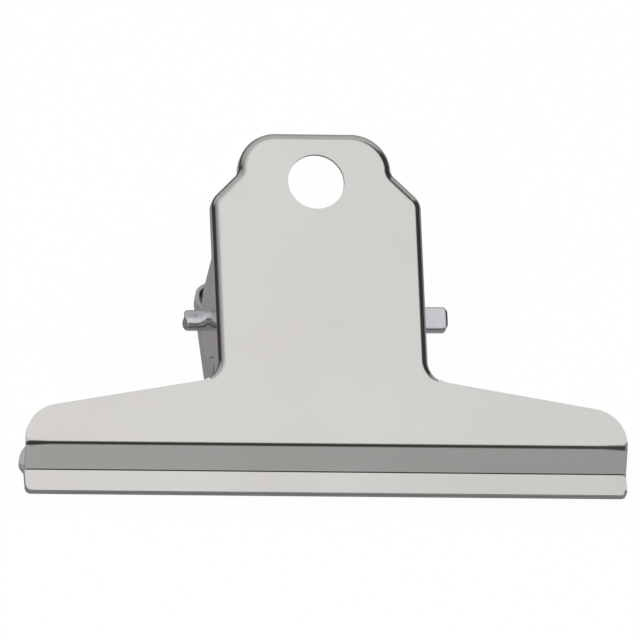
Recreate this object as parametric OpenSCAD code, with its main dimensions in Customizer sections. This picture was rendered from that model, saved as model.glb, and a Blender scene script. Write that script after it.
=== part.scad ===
// Bulldog clip lying on its rear handle plate.
// X runs along the jaws, Y from the mouth towards the handles, Z up from the rear plate.

/* [Jaws] */
// Length of the jaws from end to end
jaw_len = 125; // [110:1:150]
// Thickness of the sheet steel
sheet = 0.8; // [0.7:0.05:0.9]
// Angle between one handle plate and the middle of the clip
splay = 12.5; // [11:0.5:14]
// Distance from the outer face to the middle of the clip, at the jaw fold
fold_depth = 5.5; // [5:0.1:6]
// Height of the slanted band between the two folds, along the middle of the clip
band_rise = 4; // [3.5:0.1:5]
// Height of the gripping lip
lip_h = 4.7; // [4:0.1:6]
// Gap left between the two closed lips
lip_gap = 0.1; // [0.05:0.05:0.2]
// Inside radius of the two jaw folds
fold_r = 0.5; // [0.4:0.1:0.7]
// Radius of the lower corners of the lips
lip_corner_r = 1.2; // [0.8:0.1:2]
// Radius of the outer ends of the shoulders
end_r = 7.6; // [6.5:0.1:8]
// Slope of the shoulders
shoulder_slope = 10; // [8:1:12]

/* [Handles] */
// Length of a plate from the jaw fold to its top rim
plate_len = 67.6; // [65:0.2:72]
// Width of a handle
handle_w = 43.6; // [42:0.2:46]
// Width of the straight part of the top rim
top_w = 15.6; // [13:0.2:17]
// Radius of the top corners
top_r = 8; // [7.5:0.1:8.5]
// Radius of the inward curve at the neck
neck_r = 2.5; // [2:0.1:4]
// Radius of the outward curve below the neck
hip_r = 4; // [3:0.1:5]
// Distance from the jaw fold to the hip of the rear handle
rear_hip_up = 45; // [44:0.5:48]
// Radius between the handle and the shoulder
foot_r = 7; // [6:0.1:8]
// Outside radius of the bend along the rim
rim_r = 1.6; // [1.4:0.1:1.9]
// Depth of the rim behind the outer face
rim_depth = 4.2; // [3.6:0.1:4.3]
// Depth of the rim at the foot of the handle
foot_depth = 6.2; // [5:0.2:7]
// Diameter of the hanging hole
hang_d = 11.7; // [9:0.1:13]
// Distance from the top rim to the middle of the hanging hole
hang_drop = 10.85; // [10:0.05:13]

/* [Ears and pivot] */
// Distance from the jaw fold to the pivot, along a plate
pivot_up = 30.8; // [29.5:0.1:32]
// Radius of an ear around the pivot
ear_r = 8; // [7.4:0.1:8.1]
// Slope of the two flanks of an ear
ear_flank = 15; // [12:1:18]
// Sideways clearance between two nested ears
ear_gap = 0.1; // [0.05:0.05:0.2]
// Diameter of the pivot pin
pin_d = 4.2; // [3.8:0.1:4.6]
// Length of the pivot pin
pin_len = 55; // [54:0.2:58]
// Sideways play that the pin has slid to the right
pin_slide = 0.7; // [0:0.1:0.7]
// Radial clearance of the pin in the ears
pin_fit = 0.05; // [0.03:0.01:0.08]

/* [Spring] */
// Diameter of the spring wire
wire_d = 1.8; // [1.4:0.1:1.9]
// Radial clearance of the coil around the pin
coil_fit = 0.5; // [0.45:0.05:0.7]
// Number of whole turns between the legs
coil_turns = 8; // [5:1:10]
// Distance between neighbouring turns
coil_pitch = 2.5; // [2.4:0.1:2.9]
// Distance from the pivot to the end of a leg, along its plate
leg_reach = 21; // [18:0.5:24]

/* [Hidden] */
$fn = 72;
overrun = 1;
lap = 0.2;
half_turn = 180;
right_angle = 90;

// Shape of the outline: turn of the top corners, and slopes below the necks of both handles
top_turn = 87;
hip_slope = 45;
rear_hip_slope = 20;
// Heading at which the rim has run out along the foot curve
foot_turn = 36;
// Largest turn between two points of a curve, and steps round a bend of the sheet
curve_step = 8;
bend_steps = 6;

// Pressed ends of the pin: length, and spread, thickness and twist of each one
end_len = 4.5;
neck_len = 1.4;
dome_r = 5.6;
left_spread_d = 4.7;
left_flat = 3.3;
left_twist = 12;
right_spread_d = 5.2;
right_flat = 2.5;
right_twist = 20;

// Length over which the rim steps inward beside an ear, and the share of the rim's wall that
// stays straight on both sides of the step
set_end_run = 1.2;
straight_share = 0.2;

// Rings in one turn of the spring and sides of its wire
turn_rings = 8;
wire_sides = 6;
leg_gap = 0.05;

half_len = jaw_len / 2;
half_w = handle_w / 2;
half_top = top_w / 2;
pin_r = pin_d / 2;
wire_r = wire_d / 2;
ear_set = sheet + ear_gap;

function rise(a) = [sin(a), cos(a)];
function across(p) = [-p[0], p[1]];
function backwards(v) = [for (i = [len(v) - 1 : -1 : 0]) v[i]];

// Profile of the jaw in the plane (along the plate, depth), from the outer corner of fold one
band_out = fold_depth - sheet - lip_gap / 2;
band_angle = atan2(band_out, band_rise) - splay;
lip_turn = band_angle + splay;
band_len = sqrt(pow(band_out, 2) + pow(band_rise, 2));
fold_outer_r = fold_r + sheet;
set_back_one = fold_outer_r * tan(band_angle / 2);
set_back_two = fold_r * tan(lip_turn / 2);

// Middle of the clip seen from one plate: the pivot lies on it
mid_depth = fold_depth / cos(splay) + pivot_up * tan(splay);
pivot = [pivot_up, mid_depth];

// Lowest reach of the jaws along the rear plate, at the outer corner of the front lip
mouth_down = band_len * cos(band_angle) + lip_h * cos(splay);
mouth_reach = mouth_down + (2 * sheet + lip_gap) * sin(splay);
middle_y = (plate_len - mouth_reach) / 2;

// Centres of the curves of the outline on the right-hand side
top_c = [half_top, plate_len - top_r];
neck_c = top_c + (top_r + neck_r) * rise(top_turn);
neck_end = neck_c - neck_r * rise(hip_slope);
hip_x = half_w - hip_r;
hip_start_x = hip_x + hip_r * sin(hip_slope);
hip_start = [hip_start_x, neck_end[1] - (hip_start_x - neck_end[0]) * tan(hip_slope)];
hip_c = [hip_x, hip_start[1] - hip_r * cos(hip_slope)];
rear_hip_c = [hip_x, rear_hip_up];
rear_hip_start = rear_hip_c + hip_r * rise(rear_hip_slope);
rear_neck_x = half_top + top_r + neck_r;
rear_slope_run = rear_hip_start[0] - rear_neck_x + neck_r * sin(rear_hip_slope);
rear_neck_end_y = rear_hip_start[1] + rear_slope_run * tan(rear_hip_slope);
rear_neck_c = [rear_neck_x, rear_neck_end_y + neck_r * cos(rear_hip_slope)];
end_c = [half_len - end_r, set_back_one];
end_start = end_c + end_r * rise(shoulder_slope);
foot_end_x = half_w + foot_r - foot_r * sin(shoulder_slope);
foot_end = [foot_end_x, end_start[1] + (end_start[0] - foot_end_x) * tan(shoulder_slope)];
foot_c = foot_end + foot_r * rise(shoulder_slope);
ear_base = rim_depth - lap;
ear_half = ear_r * cos(ear_flank) + (mid_depth + ear_r * sin(ear_flank) - rim_depth) * tan(ear_flank);

// Headings from a to b, measured down from level, in even steps
function headings(a, b) = let (n = ceil(abs(b - a) / curve_step)) [for (k = [0 : n]) a + (b - a) * k / n];
function bulge(c, r, a, b) = [for (h = headings(a, b)) [c + r * rise(h), h]];
function hollow(c, r, a, b) = [for (h = headings(a, b)) [c - r * rise(h), h]];
function after_first(v) = [for (i = [1 : len(v) - 1]) v[i]];

// Right-hand edge of each handle from the top rim to the foot: a station has its place and heading
lower_edge = concat(
    [for (e = [ear_half + set_end_run, ear_half, -ear_half, -ear_half - set_end_run])
        [[half_w, pivot_up + e], right_angle]],
    after_first(hollow(foot_c, foot_r, right_angle, foot_turn)));
front_edge = concat(
    bulge(top_c, top_r, 0, top_turn),
    after_first(hollow(neck_c, neck_r, top_turn, hip_slope)),
    bulge(hip_c, hip_r, hip_slope, right_angle),
    lower_edge);
rear_edge = concat(
    bulge(top_c, top_r, 0, right_angle),
    hollow(rear_neck_c, neck_r, right_angle, rear_hip_slope),
    bulge(rear_hip_c, hip_r, rear_hip_slope, right_angle),
    lower_edge);

// Depth of the rim at a station, and the radius of its bend there
function fade(e) = cos(right_angle * (right_angle - e[1]) / (right_angle - foot_turn));
function on_foot(e) = e[0][1] < pivot_up - ear_half;
function depth_at(e) = on_foot(e) ? sheet + (foot_depth - sheet) * fade(e) : rim_depth;
function bend_at(e) = on_foot(e) ? sheet + (rim_r - sheet) * fade(e) : rim_r;
function set_at(e, set) = abs(e[0][1] - pivot_up) < ear_half + set_end_run / 2 ? set : 0;

// Section of the rim at a station: x runs inward from the edge, y is the depth
function section(e, set) = let (r = bend_at(e), d = depth_at(e), in = set_at(e, set), i = r - sheet,
    low = r + (d - r) * straight_share, high = d - (d - r) * straight_share) concat(
    [[r + lap, 0]],
    [for (k = [0 : bend_steps]) let (a = right_angle * k / bend_steps) r * [1 - sin(a), 1 - cos(a)]],
    [[0, low], [in, high], [in, d], [in + sheet, d], [in + sheet, high], [sheet, low]],
    [for (k = [bend_steps : -1 : 0]) let (a = right_angle * k / bend_steps) [r, r] - i * rise(a)],
    [[r + lap, sheet]]);

module mirrored() {
    children();
    mirror([1, 0, 0]) children();
}

// The whole edge from the left foot over the top to the right foot
function stations(edge) = concat(
    [for (e = backwards(edge)) [across(e[0]), -e[1], e]], [for (e = edge) [e[0], e[1], e]]);

function inside(e, u) = e[0] - u * rise(e[1]);

module rim(edge, set) {
    stops = stations(edge);
    n = len(section(edge[0], set));
    m = len(stops);
    points = [for (t = stops) for (q = section(t[2], set)) [each inside(t, q[0]), q[1]]];
    walls = [for (i = [0 : m - 2]) for (k = [0 : n - 1]) let (k2 = (k + 1) % n)
        each [[i * n + k, (i + 1) * n + k, i * n + k2], [i * n + k2, (i + 1) * n + k, (i + 1) * n + k2]]];
    caps = [for (k = [0 : n / 2 - 2])
        each [[k, k + 1, n - 1 - k], [k + 1, n - 2 - k, n - 1 - k]]];
    far = (m - 1) * n;
    polyhedron(points, concat(walls, caps, [for (c = caps) [for (q = backwards(c)) q + far]]));
}

// The flat part of the face, inside the bend of the rim
module flat_face(edge) {
    right = concat([for (e = edge) inside(e, bend_at(e))], [foot_end],
        [for (q = bulge(end_c, end_r, shoulder_slope, right_angle)) q[0]]);
    polygon(concat(right, backwards([for (p = right) across(p)])));
}

// Profile of the two folds, the band and the lip, in the plane (along the plate, depth)
bend_one = [set_back_one, fold_outer_r];
run_dir = [-cos(band_angle), sin(band_angle)];
bend_two = (band_len - set_back_two) * run_dir - fold_r * [sin(band_angle), cos(band_angle)];
lip_dir = [-cos(splay), -sin(splay)];

function skin(r_one, r_two, tip) = concat(
    [for (k = [0 : bend_steps]) let (a = band_angle * k / bend_steps) bend_one - r_one * rise(a)],
    [for (k = [0 : bend_steps]) let (a = band_angle - lip_turn * k / bend_steps) bend_two + r_two * rise(a)],
    [tip]);

module jaw_profile() {
    outer_tip = bend_two + fold_r * rise(-splay) + (lip_h - set_back_two) * lip_dir;
    inner_tip = outer_tip + sheet * rise(-splay);
    start = set_back_one + lap;
    polygon(concat([[start, 0]], skin(fold_outer_r, fold_r, outer_tip),
        backwards(skin(fold_r, fold_outer_r, inner_tip)), [[start, sheet]]));
}

module jaw() {
    intersection() {
        rotate([right_angle, 0, right_angle]) translate([0, 0, -half_len])
            linear_extrude(jaw_len) jaw_profile();
        translate([0, 0, -overrun]) linear_extrude(fold_depth + 3 * overrun) lip_outline();
    }
}

// Plan of the jaw strip with its two small lower corners rounded
module lip_outline() {
    low = -mouth_down;
    wide = 2 * overrun;
    corner = [half_len - lip_corner_r, low + lip_corner_r];
    translate([-half_len - wide, corner[1]]) square([jaw_len + 2 * wide, mouth_down + overrun]);
    translate([-corner[0], low - wide]) square([2 * corner[0], wide + 2 * lip_corner_r]);
    mirrored() translate(corner) circle(lip_corner_r);
}

// Side view of one ear in the plane (along the plate, depth)
module ear_shape() {
    base = ear_half + lap * tan(ear_flank);
    arc = [for (h = headings(-right_angle - ear_flank, right_angle + ear_flank)) ear_r * rise(h)];
    translate(pivot)
        polygon(concat([[-base, ear_base - mid_depth]], arc, [[base, ear_base - mid_depth]]));
}

module ear(set) {
    rotate([right_angle, 0, right_angle]) translate([0, 0, half_w - set - sheet])
        linear_extrude(sheet) ear_shape();
}

// One half of the clip, drawn in the frame of its own plate, with its ears set inward by set
module half_clip(edge, set) {
    difference() {
        union() {
            linear_extrude(sheet) flat_face(edge);
            jaw();
            rim(edge, set);
            mirrored() ear(set);
        }
        translate([0, plate_len - hang_drop, -overrun]) cylinder(d = hang_d, h = sheet + 2 * overrun);
        translate([-half_w - foot_r, pivot[0], pivot[1]]) rotate([0, right_angle, 0])
            cylinder(r = pin_r + pin_fit, h = handle_w + 2 * foot_r);
    }
}

module to_row() {
    translate([0, -middle_y, 0]) children();
}

// Moves a thing from the middle of the clip to the frame of the rear plate: Y along the middle
module at_pivot() {
    to_row() translate([0, pivot[0], pivot[1]]) rotate([splay, 0, 0]) children();
}

module rear_jaw() {
    color([0.80, 0.79, 0.77]) to_row() half_clip(rear_edge, ear_set);
}

module front_jaw() {
    color([0.82, 0.81, 0.79]) at_pivot() rotate([0, half_turn, 0]) rotate([-splay, 0, 0])
        translate([0, -pivot[0], -pivot[1]]) half_clip(front_edge, 0);
}

// A pressed pin end, standing on z = 0
module pin_end(spread_d, flat, twist) {
    slack = spread_d;
    intersection() {
        union() {
            cylinder(r1 = pin_r, r2 = spread_d / 2, h = neck_len);
            translate([0, 0, neck_len]) cylinder(d = spread_d, h = end_len - neck_len);
        }
        translate([0, 0, end_len - dome_r]) sphere(dome_r);
        rotate([right_angle, 0, twist]) translate([0, 0, -slack]) linear_extrude(2 * slack)
            polygon([[-pin_r, 0], [pin_r, 0], [flat / 2, neck_len], [flat / 2, end_len],
                [-flat / 2, end_len], [-flat / 2, neck_len]]);
    }
}

module pivot_pin() {
    shank = pin_len - 2 * end_len;
    color([0.72, 0.72, 0.73]) at_pivot() translate([pin_slide, 0, 0]) rotate([0, right_angle, 0]) {
        translate([0, 0, -shank / 2]) cylinder(r = pin_r, h = shank);
        translate([0, 0, shank / 2]) pin_end(right_spread_d, right_flat, right_twist);
        mirror([0, 0, 1]) translate([0, 0, shank / 2]) pin_end(left_spread_d, left_flat, left_twist);
    }
}

// Route of the spring wire about the pivot, with Y along the middle of the clip
coil_r = pin_r + coil_fit + wire_r;
leg_tip = [leg_reach, -(mid_depth - sheet - wire_r - leg_gap)];
leg_far = norm(leg_tip);
leg_run = sqrt(pow(leg_far, 2) - pow(coil_r, 2));
// Turn of the coil from the middle direction down to where a leg leaves it
leave = right_angle + atan2(-leg_tip[1], leg_tip[0]) - asin(coil_r / leg_far) + splay;
sweep = 2 * (half_turn - leave) + half_turn * 2 * coil_turns;
steps = round(sweep / (2 * half_turn) * turn_rings);
coil_long = coil_pitch * sweep / (2 * half_turn);

function leg_dir(s) = [0, sin(leave), s * -cos(leave)];
function coil_point(i) = let (a = leave + sweep * i / steps)
    [-coil_long / 2 + coil_long * i / steps, coil_r * cos(a), -coil_r * sin(a)];
first = coil_point(0);
last = coil_point(steps);
route = concat(
    [for (k = [1, 0.5]) first + k * leg_run * [0, sin(leave), cos(leave)]],
    [for (i = [0 : steps]) coil_point(i)],
    [for (k = [0.5, 1]) last + k * leg_run * [0, sin(leave), -cos(leave)]]);

function unit(v) = v / norm(v);
function heading(v, i) = unit(v[min(i + 1, len(v) - 1)] - v[max(i - 1, 0)]);
function ring(v, i) = let (t = heading(v, i), side = unit([1, 0, 0] - t[0] * t), up = cross(t, side))
    [for (k = [0 : wire_sides - 1]) let (a = 2 * half_turn * k / wire_sides)
        v[i] + wire_r * (cos(a) * side + sin(a) * up)];

// Least distance between the skins of two turns, measured on the points of the route
function least_gap(v) = min([for (i = [0 : len(v) - 1]) for (j = [i + turn_rings / 2 : 1 : len(v) - 1])
    norm(v[i] - v[j])]) - wire_d;

module wire(v) {
    n = wire_sides;
    m = len(v);
    walls = [for (i = [0 : m - 2]) for (k = [0 : n - 1]) let (k2 = (k + 1) % n)
        each [[i * n + k, i * n + k2, (i + 1) * n + k], [i * n + k2, (i + 1) * n + k2, (i + 1) * n + k]]];
    start_cap = [for (k = [1 : n - 2]) [0, k + 1, k]];
    end_cap = [for (k = [1 : n - 2]) [(m - 1) * n, (m - 1) * n + k, (m - 1) * n + k + 1]];
    polyhedron([for (i = [0 : m - 1]) each ring(v, i)], concat(walls, start_cap, end_cap));
}

module torsion_spring() {
    echo(least_gap_between_turns = least_gap(route));
    color([0.62, 0.62, 0.64]) at_pivot() wire(route);
}

rear_jaw();
front_jaw();
pivot_pin();
torsion_spring();
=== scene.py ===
# Bulldog clip: plated sheet halves, pressed pin and torsion spring, lit as a studio product shot
import bmesh
import bpy
import math
from mathutils import Matrix, Vector


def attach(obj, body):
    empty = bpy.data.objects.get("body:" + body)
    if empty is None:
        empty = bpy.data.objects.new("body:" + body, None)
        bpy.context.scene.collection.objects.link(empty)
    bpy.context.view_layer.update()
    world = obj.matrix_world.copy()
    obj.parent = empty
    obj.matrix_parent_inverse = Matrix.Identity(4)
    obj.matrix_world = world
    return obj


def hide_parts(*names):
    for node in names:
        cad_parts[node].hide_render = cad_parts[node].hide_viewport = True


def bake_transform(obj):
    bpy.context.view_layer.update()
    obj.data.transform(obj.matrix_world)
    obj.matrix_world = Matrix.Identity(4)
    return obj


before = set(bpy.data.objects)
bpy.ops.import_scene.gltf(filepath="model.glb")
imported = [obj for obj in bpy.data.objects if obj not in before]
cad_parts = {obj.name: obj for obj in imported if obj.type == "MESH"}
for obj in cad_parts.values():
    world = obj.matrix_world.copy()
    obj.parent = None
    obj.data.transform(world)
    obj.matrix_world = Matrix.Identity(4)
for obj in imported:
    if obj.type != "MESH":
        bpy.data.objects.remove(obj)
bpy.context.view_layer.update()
mm = 0.001

# Sizes shared by all pieces, in mm
clip = {
    "jawLength": 125.0, "sheet": 0.8, "splay": 12.5, "plateLength": 67.6,
    "pivotUp": 30.8, "foldDepth": 5.5, "pinRadius": 2.1, "mergeWithin": 0.01, "thinEdge": 0.005,
}


def rise(a):
    return Vector((math.sin(math.radians(a)), math.cos(math.radians(a))))


def steps(a, b, size):
    n = max(1, math.ceil(abs(b - a) / size))
    return [a + (b - a) * k / n for k in range(n + 1)]


def smooth(t):
    t = min(1.0, max(0.0, t))
    return t * t * (3 - 2 * t)


splay = math.radians(clip["splay"])
pivotDepth = clip["foldDepth"] / math.cos(splay) + clip["pivotUp"] * math.tan(splay)
halfLength = clip["jawLength"] / 2


# The jaw: first fold, slanted band, second fold and lip
jaw = {
    "bandRise": 4.0, "lipHeight": 4.7, "lipGap": 0.1, "foldRadius": 1.2, "lipFoldRadius": 0.8,
    "cornerRadius": 1.2, "endRadius": 7.6, "shoulderSlope": 10.0, "foldSteps": 10, "cornerRows": 6,
    "endArcTrim": 0.1, "softEndRadius": 3.1, "softEndRun": 6.0, "softColumns": 8,
}
bandOut = clip["foldDepth"] - clip["sheet"] - jaw["lipGap"] / 2
bandAngle = math.degrees(math.atan2(bandOut, jaw["bandRise"])) - clip["splay"]
bandLength = math.hypot(bandOut, jaw["bandRise"])
lipTurn = bandAngle + clip["splay"]
outerFold = jaw["foldRadius"] + clip["sheet"]
setBackOne = outerFold * math.tan(math.radians(bandAngle / 2))
setBackTwo = jaw["lipFoldRadius"] * math.tan(math.radians(lipTurn / 2))
mouthDown = bandLength * math.cos(math.radians(bandAngle)) + jaw["lipHeight"] * math.cos(splay)
mouthReach = mouthDown + (2 * clip["sheet"] + jaw["lipGap"]) * math.sin(splay)
middleY = (clip["plateLength"] - mouthReach) / 2

# From each half's own frame (x, along the plate, depth from its face) to the shared frame
rearPlate = Matrix.Translation((0, -middleY, 0))
hingePlace = Matrix.Translation((0, clip["pivotUp"] - middleY, pivotDepth))
middlePlane = hingePlace @ Matrix.Rotation(splay, 4, "X")
turned = middlePlane @ Matrix.Rotation(math.pi, 4, "Y") @ Matrix.Rotation(-splay, 4, "X")
frontPlate = turned @ Matrix.Translation((0, -clip["pivotUp"], -pivotDepth))


def makePiece(name, points, faces, place, node, body):
    mesh = bpy.data.meshes.new(name)
    mesh.from_pydata([(place @ Vector(p)) * mm for p in points], [], faces)
    piece = bpy.data.objects.new(name, mesh)
    bpy.context.collection.objects.link(piece)
    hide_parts(node)
    if body:
        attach(piece, body)
    return piece


def applyAll(piece):
    bpy.context.view_layer.update()
    graph = bpy.context.evaluated_depsgraph_get()
    shaped = bpy.data.meshes.new_from_object(piece.evaluated_get(graph))
    piece.modifiers.clear()
    piece.data = shaped


# Shader maths: a Value wraps a socket, and sums on it add Math nodes
class Value:
    def __init__(self, tree, socket):
        self.tree = tree
        self.socket = socket

    def join(self, operation, other, swap=False):
        node = self.tree.nodes.new("ShaderNodeMath")
        node.operation = operation
        pair = (other, self) if swap else (self, other)
        for slot, item in zip(node.inputs, pair):
            if isinstance(item, Value):
                self.tree.links.new(item.socket, slot)
            elif item is not None:
                slot.default_value = item
        return Value(self.tree, node.outputs[0])

    def __add__(self, other):
        return self.join("ADD", other)

    def __radd__(self, other):
        return self.join("ADD", other, True)

    def __sub__(self, other):
        return self.join("SUBTRACT", other)

    def __rsub__(self, other):
        return self.join("SUBTRACT", other, True)

    def __mul__(self, other):
        return self.join("MULTIPLY", other)

    def __rmul__(self, other):
        return self.join("MULTIPLY", other, True)

    def atLeast(self, other):
        return self.join("MAXIMUM", other)

    def size(self):
        return self.join("ABSOLUTE", None)


class Shader:
    def __init__(self, tree):
        self.tree = tree
        tree.nodes.clear()

    def node(self, kind, settings=None, **sockets):
        made = self.tree.nodes.new(kind)
        for name, value in (settings or {}).items():
            if name == "stops":
                self.setStops(made.color_ramp, value)
            else:
                setattr(made, name, value)
        for name, value in sockets.items():
            # a socket goes by its name, or as i1, i2 and so on by its place
            slot = made.inputs[int(name[1:]) if name[1:].isdigit() else name.replace("_", " ")]
            if isinstance(value, Value):
                self.tree.links.new(value.socket, slot)
            else:
                slot.default_value = value
        return made

    def setStops(self, ramp, stops):
        while len(ramp.elements) < len(stops):
            ramp.elements.new(0.5)
        for element, (place, colour) in zip(ramp.elements, stops):
            element.position = place
            element.color = (*colour, 1)

    def value(self, made, output=0):
        return Value(self.tree, made.outputs[output])

    def edge(self, value, span, kind="SMOOTHSTEP", low=0.0, high=1.0):
        settings = {"interpolation_type": kind}
        return self.value(self.node(
            "ShaderNodeMapRange", settings, Value=value, i1=span[0], i2=span[1], i3=low, i4=high))

    def noise(self, place, scale, detail):
        return self.value(self.node("ShaderNodeTexNoise", Vector=place, Scale=scale, Detail=detail))


# Plated metal: nickel with a soft polish, faint streaks and a few rubbed scratches
plating = {
    "cloudDetail": 3.0, "grainDetail": 4.0, "lineDetail": 2.0, "lineTurn": (0.2, 0.1, 0.7),
    "lineStretch": (1, 0.03, 1), "patchScale": 4, "patchDetail": 1.0, "worn": (0.52, 0.66),
    "darkAt": 0.3, "lightAt": 0.7, "markRough": 0.12,
}


def platedMetal(name, look):
    material = bpy.data.materials.new(name)
    material.use_nodes = True
    s = Shader(material.node_tree)
    place = s.value(s.node("ShaderNodeTexCoord"), 3)
    cloud = s.noise(place, look["cloudScale"], plating["cloudDetail"])
    squeezed = s.value(s.node("ShaderNodeMapping", Vector=place, Scale=look["grainSqueeze"]))
    grain = s.noise(squeezed, look["grainScale"], plating["grainDetail"])
    stretched = s.value(s.node(
        "ShaderNodeMapping", Vector=place, Rotation=plating["lineTurn"], Scale=plating["lineStretch"]))
    lines = s.noise(stretched, look["scratchScale"], plating["lineDetail"])
    patches = s.noise(place, look["cloudScale"] * plating["patchScale"], plating["patchDetail"])
    marks = s.edge(lines, look["scratch"], "LINEAR") * s.edge(patches, plating["worn"], "LINEAR")
    stops = [(plating["darkAt"], look["dark"]), (plating["lightAt"], look["light"])]
    tone = s.node("ShaderNodeValToRGB", {"stops": stops}, Fac=cloud)
    roughness = look["roughness"] + (cloud - 0.5) * look["roughSpread"] + grain * look["grainRough"]
    roughness = roughness + marks * plating["markRough"]
    across = s.value(s.node("ShaderNodeSeparateXYZ", Vector=place))
    bow = 0 - across * across * look["bow"]
    waves = s.noise(place, look["waveScale"], 0.0)
    height = bow + waves * look["waveHeight"] + grain * look["grainHeight"] - marks * look["scratchDepth"]
    bump = s.node("ShaderNodeBump", Height=height, Strength=1.0, Distance=1.0)
    shader = s.node(
        "ShaderNodeBsdfPrincipled", Base_Color=s.value(tone), Metallic=1.0, Roughness=roughness,
        Normal=s.value(bump))
    s.node("ShaderNodeOutputMaterial", Surface=s.value(shader))
    return material


sheetLook = {
    "dark": (0.70, 0.68, 0.655), "light": (0.76, 0.745, 0.72), "roughness": 0.16, "roughSpread": 0.05,
    "cloudScale": 25.0, "grainScale": 900.0, "grainSqueeze": (0.06, 1, 1), "grainRough": 0.03,
    "grainHeight": 0.0000004, "scratchScale": 420.0, "scratch": (0.72, 0.78),
    "scratchDepth": 0.000003, "bow": 0.22, "waveScale": 18.0, "waveHeight": 0.00012,
}
pinLook = {
    "dark": (0.66, 0.67, 0.70), "light": (0.76, 0.77, 0.80), "roughness": 0.25, "roughSpread": 0.06,
    "cloudScale": 300.0, "grainScale": 1600.0, "grainSqueeze": (1, 1, 1), "grainRough": 0.06,
    "grainHeight": 0.000001, "scratchScale": 900.0, "scratch": (0.66, 0.74),
    "scratchDepth": 0.000006, "bow": 0.0, "waveScale": 300.0, "waveHeight": 0.000003,
}
edgeLook = {
    "dark": (0.62, 0.61, 0.60), "light": (0.70, 0.69, 0.675), "roughness": 0.42, "roughSpread": 0.1,
    "cloudScale": 200.0, "grainScale": 1400.0, "grainSqueeze": (1, 1, 1), "grainRough": 0.08,
    "grainHeight": 0.000002, "scratchScale": 900.0, "scratch": (0.7, 0.78),
    "scratchDepth": 0.000003, "bow": 0.0, "waveScale": 200.0, "waveHeight": 0.000003,
}
springLook = {
    "dark": (0.50, 0.50, 0.52), "light": (0.62, 0.62, 0.64), "roughness": 0.24, "roughSpread": 0.08,
    "cloudScale": 200.0, "grainScale": 1500.0, "grainSqueeze": (1, 1, 1), "grainRough": 0.06,
    "grainHeight": 0.000002, "scratchScale": 900.0, "scratch": (0.7, 0.78),
    "scratchDepth": 0.000003, "bow": 0.0, "waveScale": 200.0, "waveHeight": 0.00001,
}
sheetMetal = platedMetal("platedSheet", sheetLook)
edgeMetal = platedMetal("cutSheetEdge", edgeLook)
pinMetal = platedMetal("pinPlating", pinLook)
springMetal = platedMetal("springWire", springLook)
print("materials ready")


# Camera at the photograph's angle, through a long lens
view = {
    "look": (0.1634, 0.6749, -0.7196), "up": (-0.01023, 0.73050, 0.68284),
    "mouthY": -9.704, "mouthZ": 3.482, "frameWidth": 131.17, "aimRight": -1.414, "aimUp": 35.79,
    "lens": 1500.0, "sensor": 36.0, "clipStart": 0.05, "clipEnd": 20,
}


def makeCamera():
    data = bpy.data.cameras.new("camera")
    data.lens = view["lens"]
    data.sensor_width = view["sensor"]
    camera = bpy.data.objects.new("camera", data)
    bpy.context.collection.objects.link(camera)
    look = Vector(view["look"]).normalized()
    right = look.cross(Vector(view["up"])).normalized()
    up = right.cross(look)
    mouth = Vector((0, view["mouthY"] - middleY, view["mouthZ"]))
    aim = mouth + right * view["aimRight"] + up * view["aimUp"]
    distance = view["frameWidth"] * view["lens"] / view["sensor"]
    camera.matrix_world = Matrix((right, up, -look)).transposed().to_4x4()
    camera.location = (aim - look * distance) * mm
    data.clip_start = view["clipStart"]
    data.clip_end = view["clipEnd"]
    bpy.context.scene.camera = camera


makeCamera()

# The two halves, each one bent sheet
handle = {
    "width": 43.6, "topWidth": 15.6, "topRadius": 8.0, "topTurn": 87.0, "neckRadius": 2.5,
    "neckSlope": 45.0, "hipRadius": 4.0, "rearHipUp": 45.0, "rearNeckSlope": 20.0,
    "footRadius": 5.0, "footTurn": 36.0, "footDepth": 6.2,
    "rimRadius": 1.6, "topRimExtra": 0.7, "rimDepth": 4.2,
    "holeDrop": 10.85, "holeRadius": 5.85, "bendSteps": 12, "curveStep": 3.0, "holeStep": 4.0,
    "edgeBevel": 0.12, "edgeSegments": 2, "edgeAngle": 60, "smoothAngle": 40,
}
ear = {
    "radius": 8.0, "flank": 15.0, "rows": 14, "spacing": 0.4, "sideGap": 0.1,
    "setStart": 1.9, "setRun": 2.2, "setEnds": 2.4,
}


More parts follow.
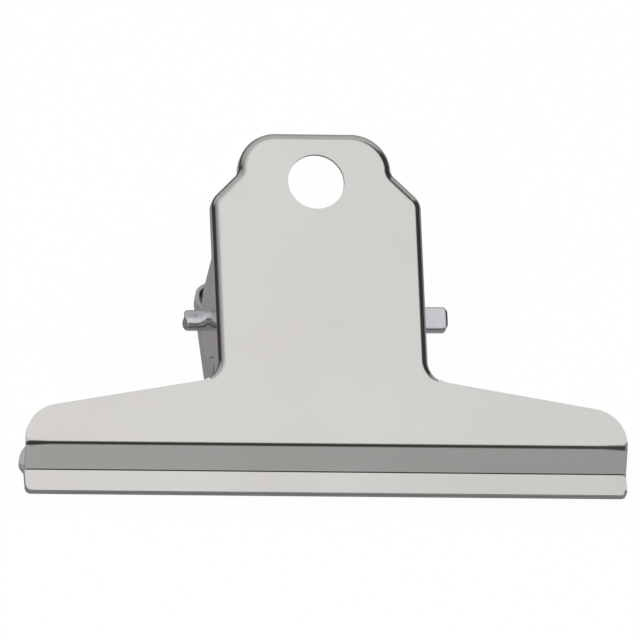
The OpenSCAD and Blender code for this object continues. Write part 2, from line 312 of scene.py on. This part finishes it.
# Stations down one side from the end of the straight top rim: place and heading
def handleEdge(isRear):
    topCentre = Vector((handle["topWidth"] / 2, clip["plateLength"] - handle["topRadius"]))
    step = handle["curveStep"]
    if isRear:
        topTurn, slope = 90, handle["rearNeckSlope"]
        hipCentre = Vector((handle["width"] / 2 - handle["hipRadius"], handle["rearHipUp"]))
        hipStart = hipCentre + handle["hipRadius"] * rise(slope)
        neckX = topCentre[0] + handle["topRadius"] + handle["neckRadius"]
        run = hipStart[0] - neckX + handle["neckRadius"] * rise(slope)[0]
        neckY = hipStart[1] + run * math.tan(math.radians(slope)) + handle["neckRadius"] * rise(slope)[1]
        neckCentre = Vector((neckX, neckY))
    else:
        topTurn, slope = handle["topTurn"], handle["neckSlope"]
        neckCentre = topCentre + (handle["topRadius"] + handle["neckRadius"]) * rise(topTurn)
        neckEnd = neckCentre - handle["neckRadius"] * rise(slope)
        hipX = handle["width"] / 2 - handle["hipRadius"]
        hipStartX = hipX + handle["hipRadius"] * rise(slope)[0]
        hipStartY = neckEnd[1] - (hipStartX - neckEnd[0]) * math.tan(math.radians(slope))
        hipCentre = Vector((hipX, hipStartY - handle["hipRadius"] * rise(slope)[1]))
    centre = footCentre()
    edge = [(topCentre + handle["topRadius"] * rise(a), a) for a in steps(0, topTurn, step)]
    turns = steps(topTurn, slope, step)
    edge += [(neckCentre - handle["neckRadius"] * rise(a), a) for a in (turns if isRear else turns[1:])]
    edge += [(hipCentre + handle["hipRadius"] * rise(a), a) for a in steps(slope, 90, step)]
    top = hipCentre[1]
    low = centre[1]
    count = round((top - low) / ear["spacing"])
    edge += [(Vector((handle["width"] / 2, top + (low - top) * k / count)), 90.0) for k in range(1, count)]
    edge += [(centre - handle["footRadius"] * rise(a), a) for a in steps(90, handle["footTurn"], step)]
    return edge


def footCentre():
    endCentre = Vector((halfLength - jaw["endRadius"], setBackOne))
    endStart = endCentre + jaw["endRadius"] * rise(jaw["shoulderSlope"])
    footX = handle["width"] / 2 + handle["footRadius"] * (1 - rise(jaw["shoulderSlope"])[0])
    slope = math.tan(math.radians(jaw["shoulderSlope"]))
    footEnd = Vector((footX, endStart[1] + (endStart[0] - footX) * slope))
    return footEnd + handle["footRadius"] * rise(jaw["shoulderSlope"])


def earEnd():
    flank = math.radians(ear["flank"])
    deep = pivotDepth + ear["radius"] * math.sin(flank) - handle["rimDepth"]
    return ear["radius"] * math.cos(flank) + deep * math.tan(flank)


def edgeDepth(station):
    along = abs(station[0][1] - clip["pivotUp"])
    flank = math.radians(ear["flank"])
    if along < earEnd():
        if along <= ear["radius"] * math.cos(flank):
            return pivotDepth + math.sqrt(ear["radius"] ** 2 - along ** 2)
        least = handle["footDepth"] if station[0][1] < clip["pivotUp"] else handle["rimDepth"]
        return max(least, handle["rimDepth"] + (earEnd() - along) / math.tan(flank))
    if station[0][1] < clip["pivotUp"]:
        return clip["sheet"] + (handle["footDepth"] - clip["sheet"]) * footFade(station)
    return handle["rimDepth"]


def footFade(station):
    return math.sqrt(max(0.0, math.cos(math.radians(90 * (90 - station[1]) / (90 - handle["footTurn"])))))


def bendRadius(station):
    if station[0][1] < clip["pivotUp"]:
        return clip["sheet"] + (handle["rimRadius"] - clip["sheet"]) * footFade(station)
    return handle["rimRadius"] + handle["topRimExtra"] * rise(station[1])[1]


def sideSection(station, sideSet):
    radius = bendRadius(station)
    depth = edgeDepth(station)
    along = abs(station[0][1] - clip["pivotUp"])
    inward = 0
    if station[1] == 90:
        inward = sideSet * smooth((earEnd() + ear["setEnds"] - along) / ear["setEnds"])
    section = []
    for k in range(handle["bendSteps"] + 1):
        r = rise(90 * k / handle["bendSteps"])
        section.append((radius * (1 - r[0]), radius * (1 - r[1])))
    for k in range(1, ear["rows"] + 1):
        d = radius + (depth - radius) * k / ear["rows"]
        section.append((inward * smooth((d - ear["setStart"]) / ear["setRun"]), d))
    return section


class SheetMesh:
    def __init__(self):
        self.points = []
        self.faces = []

    def add(self, x, along, depth):
        self.points.append((x, along, depth))
        return len(self.points) - 1

    def grid(self, rows):
        for a, b in zip(rows, rows[1:]):
            for k in range(len(a) - 1):
                self.faces.append((a[k], a[k + 1], b[k + 1], b[k]))


def faceOutline(edge):
    centre = footCentre()
    line = [station[0] - bendRadius(station) * rise(station[1]) for station in edge]
    turns = steps(handle["footTurn"], jaw["shoulderSlope"], handle["curveStep"])[1:]
    line += [centre - handle["footRadius"] * rise(a) for a in turns]
    endCentre = Vector((halfLength - jaw["endRadius"], setBackOne))
    turns = steps(jaw["shoulderSlope"], 90, handle["curveStep"])
    arc = [endCentre + jaw["endRadius"] * rise(a) for a in turns]
    line += [p for p in arc if p[1] > foldStart(halfLength) + jaw["endArcTrim"]]
    return line


# The fold runs out into a softer bend at both ends of the jaw
def foldOuter(x):
    soft = smooth((abs(x) - halfLength + jaw["softEndRun"]) / jaw["softEndRun"])
    return outerFold + (jaw["softEndRadius"] - outerFold) * soft


def foldStart(x):
    return foldOuter(x) * math.tan(math.radians(bandAngle / 2))


def jawColumns():
    count = jaw["softColumns"]
    side = [halfLength - jaw["softEndRun"] * (1 - k / count) for k in range(count + 1)]
    return [-x for x in reversed(side)] + [0] + side


def addFace(sheet, edge, side):
    line = faceOutline(edge)
    holeMiddle = clip["plateLength"] - handle["holeDrop"]
    angles = steps(0, 180, handle["holeStep"])
    ring = [Vector((0, holeMiddle)) + handle["holeRadius"] * rise(a) for a in angles]
    outline = [Vector((0, clip["plateLength"] - bendRadius(edge[0])))] + line
    outline += [Vector((x, foldStart(x))) for x in reversed(jawColumns()) if x >= 0]
    outline += list(reversed(ring))
    loop = [sheet.add(side * p[0], p[1], 0) for p in outline]
    sheet.faces.append(loop if side > 0 else list(reversed(loop)))


# Profile of the jaw at one place along its length: folds, band and lip
def jawProfile(x):
    outer = foldOuter(x)
    foldOne = Vector((foldStart(x), outer))
    run = Vector((-math.cos(math.radians(bandAngle)), math.sin(math.radians(bandAngle))))
    inner = jaw["lipFoldRadius"]
    foldTwo = run * (bandLength - setBackTwo) - inner * rise(bandAngle)
    count = jaw["foldSteps"]
    rows = [(foldOne - outer * rise(bandAngle * k / count), 0) for k in range(count + 1)]
    rows += [(foldTwo + inner * rise(bandAngle - lipTurn * k / count), 0) for k in range(count + 1)]
    down = Vector((-math.cos(splay), -math.sin(splay)))
    start = rows[-1][0]
    length = jaw["lipHeight"] - setBackTwo
    r = jaw["cornerRadius"]
    for k in range(jaw["cornerRows"] + 1):
        left = r * (1 - math.sin(math.pi / 2 * k / jaw["cornerRows"]))
        rows.append((start + down * (length - left), r - math.sqrt(max(0, r ** 2 - (r - left) ** 2))))
    return rows


def addJaw(sheet):
    profiles = [(x, jawProfile(x)) for x in jawColumns()]
    rows = []
    for i in range(len(profiles[0][1])):
        row = []
        for x, profile in profiles:
            point, trim = profile[i]
            row.append(sheet.add(x * (1 - trim / halfLength), point[0], point[1]))
        rows.append(row)
    sheet.grid([list(reversed(row)) for row in rows])


def addRim(sheet, edge, sideSet):
    rows = []
    for side, stations in ((-1, list(reversed(edge))), (1, edge)):
        for station in stations:
            inward = rise(station[1])
            row = []
            for u, d in sideSection(station, sideSet):
                p = station[0] - u * inward
                row.append(sheet.add(side * p[0], p[1], d))
            rows.append(row)
    sheet.grid([list(reversed(row)) for row in rows])


def cleanMesh(piece):
    mesh = piece.data
    work = bmesh.new()
    work.from_mesh(mesh)
    bmesh.ops.remove_doubles(work, verts=work.verts, dist=clip["mergeWithin"] * mm)
    bmesh.ops.dissolve_degenerate(work, dist=clip["thinEdge"] * mm, edges=work.edges)
    bmesh.ops.recalc_face_normals(work, faces=work.faces)
    work.to_mesh(mesh)
    work.free()


def makeHalf(name, place, sideSet, node, body):
    sheet = SheetMesh()
    edge = handleEdge(sideSet > 0)
    addFace(sheet, edge, 1)
    addFace(sheet, edge, -1)
    addJaw(sheet)
    addRim(sheet, edge, sideSet)
    piece = makePiece(name, sheet.points, sheet.faces, place, node, body)
    cleanMesh(piece)
    if facesInward(piece, place):
        piece.data.flip_normals()
    piece.data.materials.append(sheetMetal)
    piece.data.materials.append(edgeMetal)
    solid = piece.modifiers.new("thickness", "SOLIDIFY")
    solid.material_offset_rim = 1
    solid.thickness = clip["sheet"] * mm
    solid.offset = -1
    solid.use_even_offset = True
    softenEdges(piece, handle)


def softenEdges(piece, sizes):
    soft = piece.modifiers.new("edges", "BEVEL")
    soft.width = sizes["edgeBevel"] * mm
    soft.segments = sizes["edgeSegments"]
    soft.limit_method = "ANGLE"
    soft.angle_limit = math.radians(sizes["edgeAngle"])
    applyAll(piece)
    shadeSoft(piece, sizes["smoothAngle"])


def facesInward(piece, place):
    outward = (place.to_3x3() @ Vector((0, 0, -1))).normalized()
    largest = max(piece.data.polygons, key=lambda polygon: polygon.area)
    return largest.normal.dot(outward) < 0


def shadeSoft(piece, angle):
    piece.data.polygons.foreach_set("use_smooth", [True] * len(piece.data.polygons))
    piece.data.set_sharp_from_angle(angle=math.radians(angle))
    weighted = piece.modifiers.new("flatFaces", "WEIGHTED_NORMAL")
    weighted.keep_sharp = True
    weighted.weight = 100


makeHalf("frontHalfSheet", frontPlate, 0, "front_jaw", "front_half")
makeHalf("rearHalfSheet", rearPlate, clip["sheet"] + ear["sideGap"], "rear_jaw", "rear_half")
print("halves ready")

# Pivot pin with pressed ends
pin = {
    "length": 55.0, "slide": 0.7, "lean": 0.7, "sides": 56, "endRows": 24,
    "domeLength": 0.6, "domeDrop": 0.15, "endBow": 0.6, "bowFrom": 0.9,
    "edgeBevel": 0.15, "edgeSegments": 2, "edgeAngle": 35, "smoothAngle": 50,
    "left": {"spread": 4.7, "flat": 3.3, "twist": 13.0, "pressed": 4.5, "neck": 1.8, "corner": 0.85},
    "right": {"spread": 5.2, "flat": 2.5, "twist": 11.0, "pressed": 6.0, "neck": 0.6, "corner": 0.3},
}


def endRings(end):
    rings = []
    for k in range(pin["endRows"] + 1):
        along = end["pressed"] * k / pin["endRows"]
        press = smooth(along / end["neck"])
        wide = clip["pinRadius"] + (end["spread"] / 2 - clip["pinRadius"]) * press
        flat = clip["pinRadius"] + (end["flat"] / 2 - clip["pinRadius"]) * press
        inDome = 1 - min(1, (end["pressed"] - along) / pin["domeLength"])
        dome = 1 - pin["domeDrop"] * (1 - math.sqrt(1 - inDome ** 2))
        rings.append((along, wide * dome, flat * dome, 1 + (end["corner"] - 1) * press))
    return rings


def makePin():
    sections = []
    for side, key in ((-1, "left"), (1, "right")):
        end = pin[key]
        shank = pin["length"] / 2 - end["pressed"]
        rings = [(side * (shank + ring[0]), *ring[1:], end["twist"] * side) for ring in endRings(end)]
        sections += list(reversed(rings)) if side < 0 else rings
    points = []
    for x, wide, flat, power, twist in sections:
        for k in range(pin["sides"]):
            a = 2 * math.pi * k / pin["sides"]
            u = wide * math.copysign(abs(math.cos(a)) ** power, math.cos(a))
            v = flat * math.copysign(abs(math.sin(a)) ** power, math.sin(a))
            outer = max(0.0, abs(x) / pin["length"] * 2 - pin["bowFrom"]) / (1 - pin["bowFrom"])
            bow = math.copysign(pin["endBow"] * outer * math.cos(a) ** 2, x)
            t = math.radians(twist)
            along = u * math.cos(t) - v * math.sin(t) + pin["lean"] * x / pin["length"]
            points.append((x + pin["slide"] - bow, along, u * math.sin(t) + v * math.cos(t)))
    n = pin["sides"]
    faces = [(i * n + k, i * n + (k + 1) % n, (i + 1) * n + (k + 1) % n, (i + 1) * n + k)
             for i in range(len(sections) - 1) for k in range(n)]
    faces += [list(range(n - 1, -1, -1)), [len(points) - n + k for k in range(n)]]
    piece = makePiece("pressedPin", points, faces, middlePlane, "pivot_pin", "rear_half")
    cleanMesh(piece)
    softenEdges(piece, pin)
    piece.data.materials.append(pinMetal)


makePin()
print("pin ready")

# Torsion spring round the pin
spring = {
    "wireRadius": 0.9, "coilFit": 0.5, "turns": 8, "pitch": 2.5, "legReach": 21.0, "legGap": 0.05,
    "turnSteps": 36, "sides": 14, "legStops": (0.08, 0.25, 0.5, 0.75, 1.0), "smoothAngle": 50,
}


def springRoute():
    coil = clip["pinRadius"] + spring["coilFit"] + spring["wireRadius"]
    tipDown = pivotDepth - clip["sheet"] - spring["wireRadius"] - spring["legGap"]
    far = math.hypot(spring["legReach"], tipDown)
    run = math.sqrt(far ** 2 - coil ** 2)
    leave = math.pi / 2 + math.atan2(tipDown, spring["legReach"]) - math.asin(coil / far) + splay
    sweep = 2 * (math.pi - leave) + 2 * math.pi * spring["turns"]
    long = spring["pitch"] * sweep / (2 * math.pi)
    count = round(sweep / (2 * math.pi) * spring["turnSteps"])
    route = []
    for i in range(count + 1):
        a = leave + sweep * i / count
        route.append(Vector((-long / 2 + long * i / count, coil * math.cos(a), -coil * math.sin(a))))
    back = Vector((0, math.sin(leave), math.cos(leave)))
    forth = Vector((0, math.sin(leave), -math.cos(leave)))
    before = [route[0] + back * run * k for k in reversed(spring["legStops"])]
    after = [route[-1] + forth * run * k for k in spring["legStops"]]
    return before + route + after, long


def makeSpring():
    route, long = springRoute()
    points = []
    n = spring["sides"]
    for i, p in enumerate(route):
        ahead = (route[min(i + 1, len(route) - 1)] - route[max(i - 1, 0)]).normalized()
        side = (Vector((1, 0, 0)) - ahead * ahead[0]).normalized()
        up = ahead.cross(side)
        for k in range(n):
            a = 2 * math.pi * k / n
            points.append(tuple(p + spring["wireRadius"] * (math.cos(a) * side + math.sin(a) * up)))
    faces = [(i * n + k, i * n + (k + 1) % n, (i + 1) * n + (k + 1) % n, (i + 1) * n + k)
             for i in range(len(route) - 1) for k in range(n)]
    faces += [list(range(n - 1, -1, -1)), [len(points) - n + k for k in range(n)]]
    piece = makePiece(
        "torsionSpringWire", points, faces, middlePlane, "torsion_spring", None)
    cleanMesh(piece)
    shadeSoft(piece, spring["smoothAngle"])
    piece.data.materials.append(springMetal)
    -long / 2 * mm
    long / 2 * mm
    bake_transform(piece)


makeSpring()
print("spring ready")

# Floor and studio
studio = {
    "floorSize": 3.0, "floorDrop": 0.0001, "floorColour": (0.86, 0.86, 0.86), "whiteShare": 0.975,
    # the dark patch tone and its left and back bounds paint shade onto the floor as mirrored rays see it
    "mirrorTone": (0.31, 0.298, 0.318), "shadePatchTone": (0.05, 0.05, 0.05),
    "shadePatchLeft": (0.036, 0.046), "shadePatchBack": (-0.02, -0.012),
    "ceiling": 0.878, "ceilingFall": 1.3, "ceilingTilt": -0.05, "leftLean": 0.54, "rightLean": 0.3,
    "rightLeanFrom": 0.25, "ceilingUp": (0.83, 0.89), "ceilingBack": (0.62, 0.34), "leftFade": (-1.0, 0.1),
    "leftLeast": 0.15, "leftMost": -0.055, "faceTurn": 0.163,
    "front": 0.42, "frontFall": 1.8, "frontAhead": (0.5, 0.8), "frontUp": (0.40, 0.22),
    "back": 0.38, "backRise": 0.2, "backSkew": 0.4, "backBehind": (0.3, 0.6), "backUp": (-0.15, 0.05),
    "backRight": (0.5, 0.38),
    "sides": 0.38, "sideAhead": (0.1, 0.35), "sideOut": (0.3, 0.5), "lowAhead": (-0.05, 0.12),
    "lowOut": (0.6, 0.8), "lowUp": (0.55, 0.4), "shade": 0.04,
    "lamps": [("keyPanel", (-0.35, -0.3, 0.7), 4.0, 0.5), ("fillPanel", (0.5, 0.2, 0.6), 2.0, 0.6)],
}


def makeFloor():
    half = studio["floorSize"] / 2
    mesh = bpy.data.meshes.new("floor")
    corners = [(-half, -half, 0), (half, -half, 0), (half, half, 0), (-half, half, 0)]
    mesh.from_pydata(corners, [], [(0, 1, 2, 3)])
    floor = bpy.data.objects.new("floor", mesh)
    floor.location.z = -studio["floorDrop"]
    bpy.context.collection.objects.link(floor)
    material = bpy.data.materials.new("floorPaper")
    material.use_nodes = True
    s = Shader(material.node_tree)
    path = s.node("ShaderNodeLightPath")
    seenWhite = s.value(path, 0) + s.value(path, 6)  # camera and transmission rays
    glossyRay = s.value(path, 3)
    place = s.node("ShaderNodeSeparateXYZ", Vector=s.value(s.node("ShaderNodeTexCoord"), 3))
    # mask for the painted shade: left of and behind the clip
    leftward = s.edge(0 - s.value(place, 0), studio["shadePatchLeft"])
    backward = s.edge(s.value(place, 1), studio["shadePatchBack"])
    diffuse = s.node("ShaderNodeBsdfDiffuse", Color=(*studio["floorColour"], 1))
    white = s.node("ShaderNodeEmission", Color=(1, 1, 1, 1), Strength=1.0)
    share = seenWhite * studio["whiteShare"]
    paper = s.node("ShaderNodeMixShader", Fac=share, i1=s.value(diffuse), i2=s.value(white))
    # mirrored rays see grey paper, with painted shade as a dark patch behind the clip on the left
    grey = s.node("ShaderNodeEmission", Color=(*studio["mirrorTone"], 1), Strength=1.0)
    # painted shade: a dark glow that only mirrored rays see, left of and behind the clip
    dark = s.node("ShaderNodeEmission", Color=(*studio["shadePatchTone"], 1), Strength=1.0)
    mirrored = s.node("ShaderNodeMixShader", Fac=leftward * backward, i1=s.value(grey), i2=s.value(dark))
    surface = s.node("ShaderNodeMixShader", Fac=glossyRay, i1=s.value(paper), i2=s.value(mirrored))
    s.node("ShaderNodeOutputMaterial", Surface=s.value(surface))
    mesh.materials.append(material)


def makeWorld():
    world = bpy.data.worlds.new("studio")
    bpy.context.scene.world = world
    world.use_nodes = True
    s = Shader(world.node_tree)
    path = s.node("ShaderNodeLightPath")
    seenWhite = s.value(path, 0) + s.value(path, 6)
    direction = s.node("ShaderNodeSeparateXYZ", Vector=s.value(s.node("ShaderNodeTexCoord"), 0))
    dx = s.value(direction, 0)
    dy = s.value(direction, 1)
    dz = s.value(direction, 2)

    # bright ceiling panel that fades to the left and the back
    turn = dx - studio["faceTurn"]
    lifted = dz + dy * studio["ceilingTilt"] + (0 - dx).atLeast(0) * studio["leftLean"]
    lifted = lifted - (dx - studio["rightLeanFrom"]).atLeast(0) * studio["rightLean"]
    ceiling = s.edge(lifted, studio["ceilingUp"]) * s.edge(dy, studio["ceilingBack"])
    fade = s.edge(dx, studio["leftFade"], "LINEAR", studio["leftLeast"])
    fall = 1 - turn.atLeast(studio["leftMost"]) * studio["ceilingFall"]
    # grey cards before the mouth, behind the handles and at the sides, with dark gaps between them
    front = s.edge(0 - dy, studio["frontAhead"]) * s.edge(dz, studio["frontUp"])
    back = s.edge(dy, studio["backBehind"]) * s.edge(dz, studio["backUp"]) * (1 - ceiling)
    back = back * s.edge(dx - dy * studio["backSkew"], studio["backRight"])
    highSides = s.edge(0 - dy, studio["sideAhead"]) * s.edge(dx.size(), studio["sideOut"])
    lowSides = s.edge(0 - dy, studio["lowAhead"]) * s.edge(dx.size(), studio["lowOut"])
    lowSides = lowSides * s.edge(dz, studio["lowUp"])
    sides = highSides.atLeast(lowSides) * (1 - ceiling) * (1 - front)
    level = ceiling * fade * studio["ceiling"] * fall
    level = level + front * studio["front"] * (1 - turn * studio["frontFall"])
    level = level + back * (studio["back"] + dz * studio["backRise"])
    level = level + sides * studio["sides"] + studio["shade"]
    strength = seenWhite + (1 - seenWhite) * level
    s.node("ShaderNodeOutputWorld", Surface=s.value(
        s.node("ShaderNodeBackground", Color=(1, 1, 1, 1), Strength=strength)))


def makeLamp(name, place, power, size):
    data = bpy.data.lights.new(name, "AREA")
    data.energy = power
    data.size = size
    lamp = bpy.data.objects.new(name, data)
    lamp.location = place
    lamp.rotation_euler = (-Vector(place)).to_track_quat("-Z", "Y").to_euler()
    lamp.visible_glossy = False
    bpy.context.collection.objects.link(lamp)


makeFloor()
makeWorld()
for lamp in studio["lamps"]:
    makeLamp(*lamp)
bpy.context.scene.view_settings.view_transform = "Standard"
print("studio ready")
